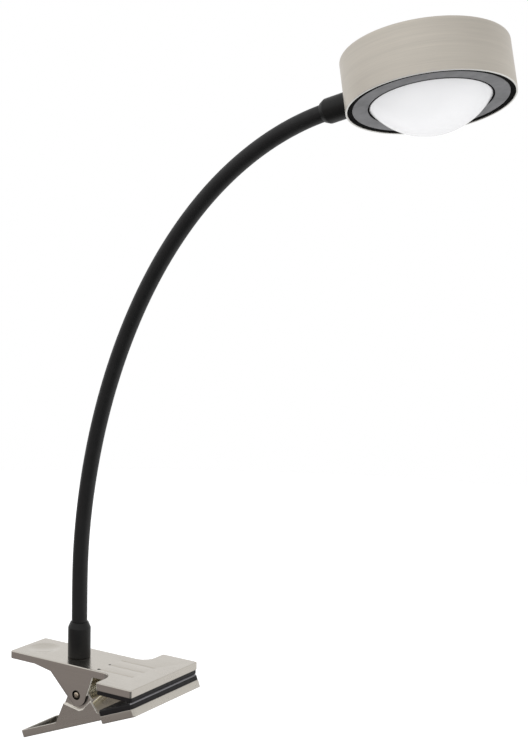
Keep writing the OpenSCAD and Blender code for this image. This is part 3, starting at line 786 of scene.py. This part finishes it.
def sweep(name, path, across, side, radius, sides, matrix=Matrix.Identity(4), inner=0.0, sharp=50):
    """A round bar or tube along a path in metres. radius may vary along it. A bar has end faces, and a
    tube's wall is closed at both ends."""
    path, across, side = (np.array(a, float) for a in (path, across, side))
    if side.ndim == 1:
        side = np.broadcast_to(side, across.shape)
    radius = np.broadcast_to(np.array(radius, float), (len(path),))
    angle = 2 * np.pi * np.arange(sides) / sides

    def rings(r):
        c, s = np.cos(angle)[:, None], np.sin(angle)[:, None]
        return [(path[i] + r[i] * (c * across[i] + s * side[i])).tolist() for i in range(len(path))]

    out = rings(radius)
    if inner:
        hole = rings(np.full(len(path), inner))
        v, f = loft(out + hole[::-1] + [out[0]])
    else:
        v, f = loft(out)
        f += [tuple(range(sides)), tuple(range(len(v) - sides, len(v)))]
    return new_piece(name, np.array(v) / MM, f, matrix, sharp)


def torsion_spring():
    """Eleven close turns round the rivet, with a leg along each plate."""
    wire, coil, turns, reach = 1.5, 4.7, 11, 24.0
    leg_z = PLATE_Z - SHEET - wire / 2 - 0.2
    far = math.hypot(reach, leg_z)
    lead = math.acos(coil / far)
    up_end = np.array((-reach, 0, leg_z))
    c, s = math.cos(JAW_ANGLE), math.sin(JAW_ANGLE)
    down_end = np.array((-reach * c + leg_z * s, 0, -reach * s - leg_z * c))
    start = math.atan2(up_end[2], up_end[0]) - lead
    stop = math.atan2(down_end[2], down_end[0]) + lead - 2 * math.pi * turns
    length = (wire + 0.12) * (start - stop) / (2 * math.pi)
    count = int(36 * (start - stop) / (2 * math.pi))
    angles = np.linspace(start, stop, count + 1)
    along = length * (np.linspace(0, 1, count + 1) - 0.5)
    body = np.column_stack([coil * np.cos(angles), along, coil * np.sin(angles)])
    first = up_end - (0, length / 2, 0)
    last = down_end + (0, length / 2, 0)
    legs = 14
    lead_in = [first + (body[0] - first) * t for t in np.linspace(0, 1, legs + 1)[:-1]]
    lead_out = [body[-1] + (last - body[-1]) * t for t in np.linspace(0, 1, legs + 1)[1:]]
    path = np.concatenate([lead_in, body, lead_out])
    spokes = np.column_stack([np.cos(angles), np.zeros(count + 1), np.sin(angles)])
    across = np.concatenate([[spokes[0]] * legs, spokes, [spokes[-1]] * legs])
    radius = np.full(len(path), wire / 2)
    radius[0] = radius[-1] = wire / 2 - 0.2
    path = path + np.array(PIVOT) / MM
    obj = sweep("torsion_spring_wound", path * MM, across, np.array((0, -1, 0)), radius * MM, 14)
    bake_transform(obj)
    return obj


settle(torsion_spring(), None, "spring_steel", LOOKS["spring_steel"], "torsion_spring")


# ---------------------------------------------------------------- post and arm

FERRULE_R, NECK_R = 6.3, 4.3
CORE_R, CORE_BORE_R, LEAD_R = 3.6, 2.2, 1.5
base_profile = rounded(
    [(4.0, 0), (FERRULE_R, 0), (FERRULE_R, 16.7), (4.95, 19.9), (4.3, 19.9), (4.3, 5.5), (4.0, 5.5)],
    [0, 0.45, 1.3, 0.35, 0.15, 0, 0],
)
base = lathe("base_ferrule_turned", base_profile, POST_FRAME, 128)
settle(base, "clip_body", "ferrule_black", LOOKS["ferrule_black"], "base_ferrule")
top_profile = rounded(
    [
        (2.5, -8), (5.0, -8), (5.0, 0.02), (FERRULE_R, 0.02), (FERRULE_R, 14.9), (5.0, 17.6), (4.4, 17.6),
        (4.4, 5.0), (2.5, 5.0),
    ],
    [0, 0.3, 0, 0.35, 2.2, 0.5, 0.15, 0, 0],
)
top = lathe("top_ferrule_turned", top_profile, FERRULE, 128)
settle(top, "neck_link_12", "ferrule_black", LOOKS["ferrule_black"], "top_ferrule")


def arm_line():
    """The arm's centre line through every knuckle: a function of length, and each point's length."""
    knuckles = []
    for k in range(2, 13):
        j = next(j for j in frame["joints"] if j["child"] == f"neck_link_{k}")
        knuckles.append(np.array(j["pos_m"], float))
    start = np.array(POST) + (0, 0, 5.5 * MM)
    end = np.array(WALL - 5.2 * MM * HEAD_DIR)
    points = np.array([start - (0, 0, 12 * MM), start, *knuckles, end, np.array(WALL + 6 * MM * HEAD_DIR)])
    gaps = np.linalg.norm(np.diff(points, axis=0), axis=1)
    s = np.concatenate([[0], np.cumsum(gaps)])
    n = len(s)
    # natural cubic spline through the points, by length
    h = np.diff(s)
    A = np.zeros((n, n))
    b = np.zeros((n, 3))
    A[0, 0] = A[-1, -1] = 1
    for i in range(1, n - 1):
        A[i, i - 1], A[i, i], A[i, i + 1] = h[i - 1], 2 * (h[i - 1] + h[i]), h[i]
        b[i] = 6 * ((points[i + 1] - points[i]) / h[i] - (points[i] - points[i - 1]) / h[i - 1])
    M = np.linalg.solve(A, b)

    def at(t):
        i = int(np.clip(np.searchsorted(s, t) - 1, 0, n - 2))
        u, w = s[i + 1] - t, t - s[i]
        return (
            M[i] * u ** 3 / (6 * h[i]) + M[i + 1] * w ** 3 / (6 * h[i])
            + (points[i] / h[i] - M[i] * h[i] / 6) * u + (points[i + 1] / h[i] - M[i + 1] * h[i] / 6) * w
        )

    return at, s


arm_at, arm_s = arm_line()
RINGS = 24


def arm_ring(t):
    step = 0.2 * MM
    tangent = arm_at(t + step) - arm_at(t - step)
    tangent /= np.linalg.norm(tangent)
    side = np.array((0, 1, 0))
    return arm_at(t), np.cross(side, tangent), side


def arm_piece(name, t0, t1, radius, inner, sides):
    rows = [arm_ring(t) for t in np.linspace(t0, t1, RINGS + 1)]
    path, across, side = zip(*rows)
    obj = sweep(name, path, across, side, radius, sides, inner=inner)
    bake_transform(obj)
    return obj


# arm_s[2] is the first knuckle, so segment k ends at arm_s[k + 1]
middles = [(arm_s[k] + arm_s[k + 1]) / 2 for k in range(1, 13)]
for k in range(1, 12):
    t0 = arm_s[1] if k == 1 else middles[k - 1]
    t1 = arm_s[13] if k == 11 else middles[k]
    start, end = arm_at(middles[k - 1]), arm_at(middles[k])
    sleeve = arm_piece(f"gooseneck_sleeve_{k}", t0, t1, NECK_R * MM, (CORE_R + 0.05) * MM, 64)
    last = ("neck_sleeve_12", "neck_core_12") if k == 11 else ()
    settle(sleeve, None, "sleeve_black", LOOKS["sleeve_black"], f"neck_sleeve_{k}", *last[:1])
    core = arm_piece(f"gooseneck_core_{k}", t0, t1, CORE_R * MM, CORE_BORE_R * MM, 32)
    settle(core, None, "core_steel", LOOKS["core_steel"], f"neck_core_{k}", *last[1:])
    # the lead reaches on into the post and into the head
    low = t0 - 7 * MM if k == 1 else t0
    high = t1 + 12 * MM if k == 11 else t1
    lead = arm_piece(f"supply_lead_{k}", low, high, LEAD_R * MM, 0, 20)
    settle(lead, None, "lead_sheath", LOOKS["lead_sheath"], *(["supply_lead"] if k == 1 else []))


# ---------------------------------------------------------------- head

SHELL_T, HALF_H = 0.9, 13.0
R = HEAD_R / MM
shell_profile = rounded(
    [
        (R - SHELL_T, -HALF_H), (R, -HALF_H), (R, HALF_H), (0, HALF_H), (0, HALF_H - 1.2),
        (R - SHELL_T, HALF_H - 1.2),
    ],
    [0.2, 0.28, 1.6, 0, 0, 0.8], 7,
)
shell = lathe("head_shell_spun", shell_profile, HEAD, 256, 40)
cut(shell, rod("cutter", 5.08, 16, FERRULE), sharp=40)
settle(shell, "head_body", "nickel_shell", NICKEL_SHELL, "head_shell")

FACE = -HALF_H + 0.4
bezel_profile = rounded(
    [
        (36.85, FACE), (39.0, FACE), (39.0, FACE + 3.2), (31.2, FACE + 3.2), (31.2, FACE + 1.7),
        (36.85, FACE + 1.7),
    ],
    [0.3, 0.25, 0.2, 0, 0, 0], 5,
)
bezel = lathe("bezel_ring_moulded", bezel_profile, HEAD, 224)
settle(bezel, "head_body", "bezel_black", LOOKS["bezel_black"], "bezel_ring")
trim_profile = rounded(
    [(29.45, FACE + 0.1), (36.75, FACE + 0.1), (36.75, FACE + 1.7), (29.45, FACE + 1.7)],
    [0.22, 0.3, 0.1, 0.1], 5,
)
trim = lathe("trim_ring_turned", trim_profile, HEAD, 224)
settle(trim, "head_body", "trim_grey", LOOKS["trim_grey"], "trim_ring")
gasket_profile = rounded(
    [(28.8, FACE), (29.4, FACE), (29.4, FACE + 1.7), (28.8, FACE + 1.7)], [0.2, 0.2, 0, 0], 4,
)
gasket = lathe("lens_gasket_moulded", gasket_profile, HEAD, 224)
settle(gasket, "head_body", "gasket_black", LOOKS["gasket_black"], "lens_gasket")


def lens():
    """A domed diffuser of even thickness, with a flat flange behind the rings."""
    r, bulge, thick, back_r = 28.75, 14.8, 2.0, 27.0
    sphere = (r * r + bulge * bulge) / (2 * bulge)
    centre = FACE + 0.6 - bulge + sphere

    def dome(radius, start, end, count):
        angles = np.radians(np.linspace(start, end, count))
        return [(radius * math.sin(a), centre - radius * math.cos(a)) for a in angles]

    hole = sphere - thick
    out = dome(sphere, 0, math.degrees(math.asin(r / sphere)), 49)
    back = dome(hole, math.degrees(math.asin(back_r / hole)), 0, 41)
    flange = [(r, FACE + 1.7), (31.1, FACE + 1.7), (31.1, FACE + 3.0), (back_r, FACE + 3.0)]
    return lathe("lens_dome", out + flange + back, HEAD, 192, 40)


settle(lens(), "head_body", "lens_frosted", LOOKS["lens_frosted"], "lens")

for name in ("base_nipple", "base_washer", "base_nut", "inlet_bush"):
    weld = nodes[name].modifiers.new("weld", "WELD")
    weld.merge_threshold = 1e-6
    bevel = nodes[name].modifiers.new("bevel", "BEVEL")
    bevel.width, bevel.segments = 0.15 * MM, 2
    bevel.limit_method, bevel.angle_limit = "ANGLE", math.radians(40)


# ---------------------------------------------------------------- floor, light and camera

# below the lowest point that the head reaches when the arm is bent down
FLOOR_Z = cad_box[0].z - 28 * MM


def floor_disc():
    bm = bmesh.new()
    bmesh.ops.create_circle(bm, cap_ends=True, segments=96, radius=3.0)
    mesh = bpy.data.meshes.new("floor")
    bm.to_mesh(mesh)
    bm.free()
    obj = bpy.data.objects.new("floor", mesh)
    bpy.context.scene.collection.objects.link(obj)
    obj.location = (0.02, 0, FLOOR_Z)
    s = Shader("floor", (0.92, 0.92, 0.92), 0.9, Emission_Color=(1, 1, 1, 1), Emission_Strength=0.3)
    far = s.node("VectorMath", [(0, s.coords)], p_operation="LENGTH").outputs["Value"]
    fade = s.ranged(far, 0.0, 1.0, 0.78, 0.98)
    clear = s.node("BsdfTransparent").outputs[0]
    mix = s.node("MixShader", [(0, fade), (1, s.bsdf.outputs[0]), (2, clear)])
    s.tree.links.new(mix.outputs[0], s.tree.nodes["Material Output"].inputs[0])
    mesh.materials.append(s.mat)
    obj.visible_glossy = False


floor_disc()

# Smooth greys all round for glossy rays, an even light for diffuse ones, and plain white for the camera
world = bpy.data.worlds.new("studio")
bpy.context.scene.world = world
world.use_nodes = True
wt = world.node_tree
wt.nodes.clear()
direction = wt.nodes.new("ShaderNodeTexCoord").outputs["Generated"]
split = wt.nodes.new("ShaderNodeSeparateXYZ")
wt.links.new(direction, split.inputs[0])


def sky_ramp(output, low, high, values, smooth="EASE"):
    """Grey by one direction component: the values at low and at high, with soft steps between."""
    part = wt.nodes.new("ShaderNodeMapRange")
    part.inputs["From Min"].default_value, part.inputs["From Max"].default_value = low, high
    wt.links.new(output, part.inputs[0])
    ramp = wt.nodes.new("ShaderNodeValToRGB")
    ramp.color_ramp.interpolation = smooth
    while len(ramp.color_ramp.elements) < len(values):
        ramp.color_ramp.elements.new(0.5)
    for i, v in enumerate(values):
        ramp.color_ramp.elements[i].position = i / (len(values) - 1)
        ramp.color_ramp.elements[i].color = (v, v, v, 1)
    wt.links.new(part.outputs[0], ramp.inputs[0])
    return ramp.outputs[0]


front_sky = sky_ramp(split.outputs[2], -0.5, 0.6, (0.10, 0.16, 0.71, 0.78, 0.80, 0.86))
back_sky = sky_ramp(split.outputs[2], -0.6, 0.6, (0.70, 0.82, 0.85, 0.75))
behind = sky_ramp(split.outputs[1], -0.25, 0.35, (0.0, 1.0))
sky = wt.nodes.new("ShaderNodeMix")
sky.data_type = "RGBA"
wt.links.new(behind, sky.inputs[0])
wt.links.new(front_sky, sky.inputs[6])
wt.links.new(back_sky, sky.inputs[7])
# a dark card beside the camera, which the clip's side walls mirror
toward = wt.nodes.new("ShaderNodeVectorMath")
toward.operation = "DOT_PRODUCT"
toward.inputs[1].default_value = Vector((-0.53, -0.84, -0.22)).normalized()
wt.links.new(direction, toward.inputs[0])
card = wt.nodes.new("ShaderNodeMix")
card.data_type = "RGBA"
card.inputs[7].default_value = (0.296, 0.272, 0.270, 1)
low = wt.nodes.new("ShaderNodeMath")
low.operation = "MULTIPLY"
wt.links.new(sky_ramp(toward.outputs["Value"], 0.80, 0.93, (0.0, 1.0)), low.inputs[0])
wt.links.new(sky_ramp(split.outputs[2], -0.02, 0.16, (1.0, 0.0)), low.inputs[1])
wt.links.new(low.outputs[0], card.inputs[0])
# above the horizon the room is a little darker on the head's side
dimmed = wt.nodes.new("ShaderNodeMix")
dimmed.data_type, dimmed.blend_type = "RGBA", "MULTIPLY"
wt.links.new(sky_ramp(split.outputs[2], 0.15, 0.4, (0.0, 1.0)), dimmed.inputs[0])
wt.links.new(sky.outputs[2], dimmed.inputs[6])
wt.links.new(sky_ramp(split.outputs[0], -0.3, 1.0, (1.0, 0.93, 0.86, 0.80)), dimmed.inputs[7])
wt.links.new(dimmed.outputs[2], card.inputs[6])
glossy = wt.nodes.new("ShaderNodeBackground")
wt.links.new(card.outputs[2], glossy.inputs[0])
pale = wt.nodes.new("ShaderNodeBackground")
pale.inputs[0].default_value = (1, 1, 1, 1)
soft = wt.nodes.new("ShaderNodeBackground")
soft.inputs[0].default_value = (0.72, 0.72, 0.73, 1)
path = wt.nodes.new("ShaderNodeLightPath")
diffuse_mix = wt.nodes.new("ShaderNodeMixShader")
wt.links.new(path.outputs["Is Glossy Ray"], diffuse_mix.inputs[0])
wt.links.new(soft.outputs[0], diffuse_mix.inputs[1])
wt.links.new(glossy.outputs[0], diffuse_mix.inputs[2])
camera_mix = wt.nodes.new("ShaderNodeMixShader")
wt.links.new(path.outputs["Is Camera Ray"], camera_mix.inputs[0])
wt.links.new(diffuse_mix.outputs[0], camera_mix.inputs[1])
wt.links.new(pale.outputs[0], camera_mix.inputs[2])
out = wt.nodes.new("ShaderNodeOutputWorld")
wt.links.new(camera_mix.outputs[0], out.inputs[0])


def softbox(name, location, target, size, power, warmth=1.0):
    light = bpy.data.lights.new(name, "AREA")
    light.shape, light.size, light.size_y = "RECTANGLE", size[0], size[1]
    light.energy, light.color = power, (1, warmth, warmth)
    obj = bpy.data.objects.new(name, light)
    bpy.context.scene.collection.objects.link(obj)
    obj.location = location
    obj.rotation_euler = (Vector(target) - Vector(location)).to_track_quat("-Z", "Y").to_euler()
    obj.visible_glossy = False


MIDDLE = (0.03, 0, 0.15)
softbox("key", (-0.7, -0.9, 1.3), MIDDLE, (0.9, 0.9), 7)
softbox("fill", (1.3, -0.8, 0.7), MIDDLE, (0.9, 0.9), 3)
softbox("back", (-0.3, 1.2, 0.9), MIDDLE, (1.0, 0.8), 5)

camera = bpy.data.cameras.new("camera")
camera.lens, camera.sensor_width = 76.4, 36
camera.clip_start, camera.clip_end = 0.05, 20
eye = bpy.data.objects.new("camera", camera)
bpy.context.scene.collection.objects.link(eye)
yaw, pitch, roll = 0.5609, -0.1332, 0.0230
right = Vector((math.cos(yaw), math.sin(yaw), 0))
forward = Vector((-math.sin(yaw) * math.cos(pitch), math.cos(yaw) * math.cos(pitch), math.sin(pitch)))
above = right.cross(forward)
turned_right = right * math.cos(roll) + above * math.sin(roll)
turned_up = above * math.cos(roll) - right * math.sin(roll)
place = Matrix((turned_right, turned_up, -forward)).transposed().to_4x4()
place.translation = (0.49345, -0.67397, 0.28206)
eye.matrix_world = place
bpy.context.scene.camera = eye
bpy.context.scene.view_settings.view_transform = "Standard"

# ---------------------------------------------------------------- scene update

bpy.context.view_layer.update()
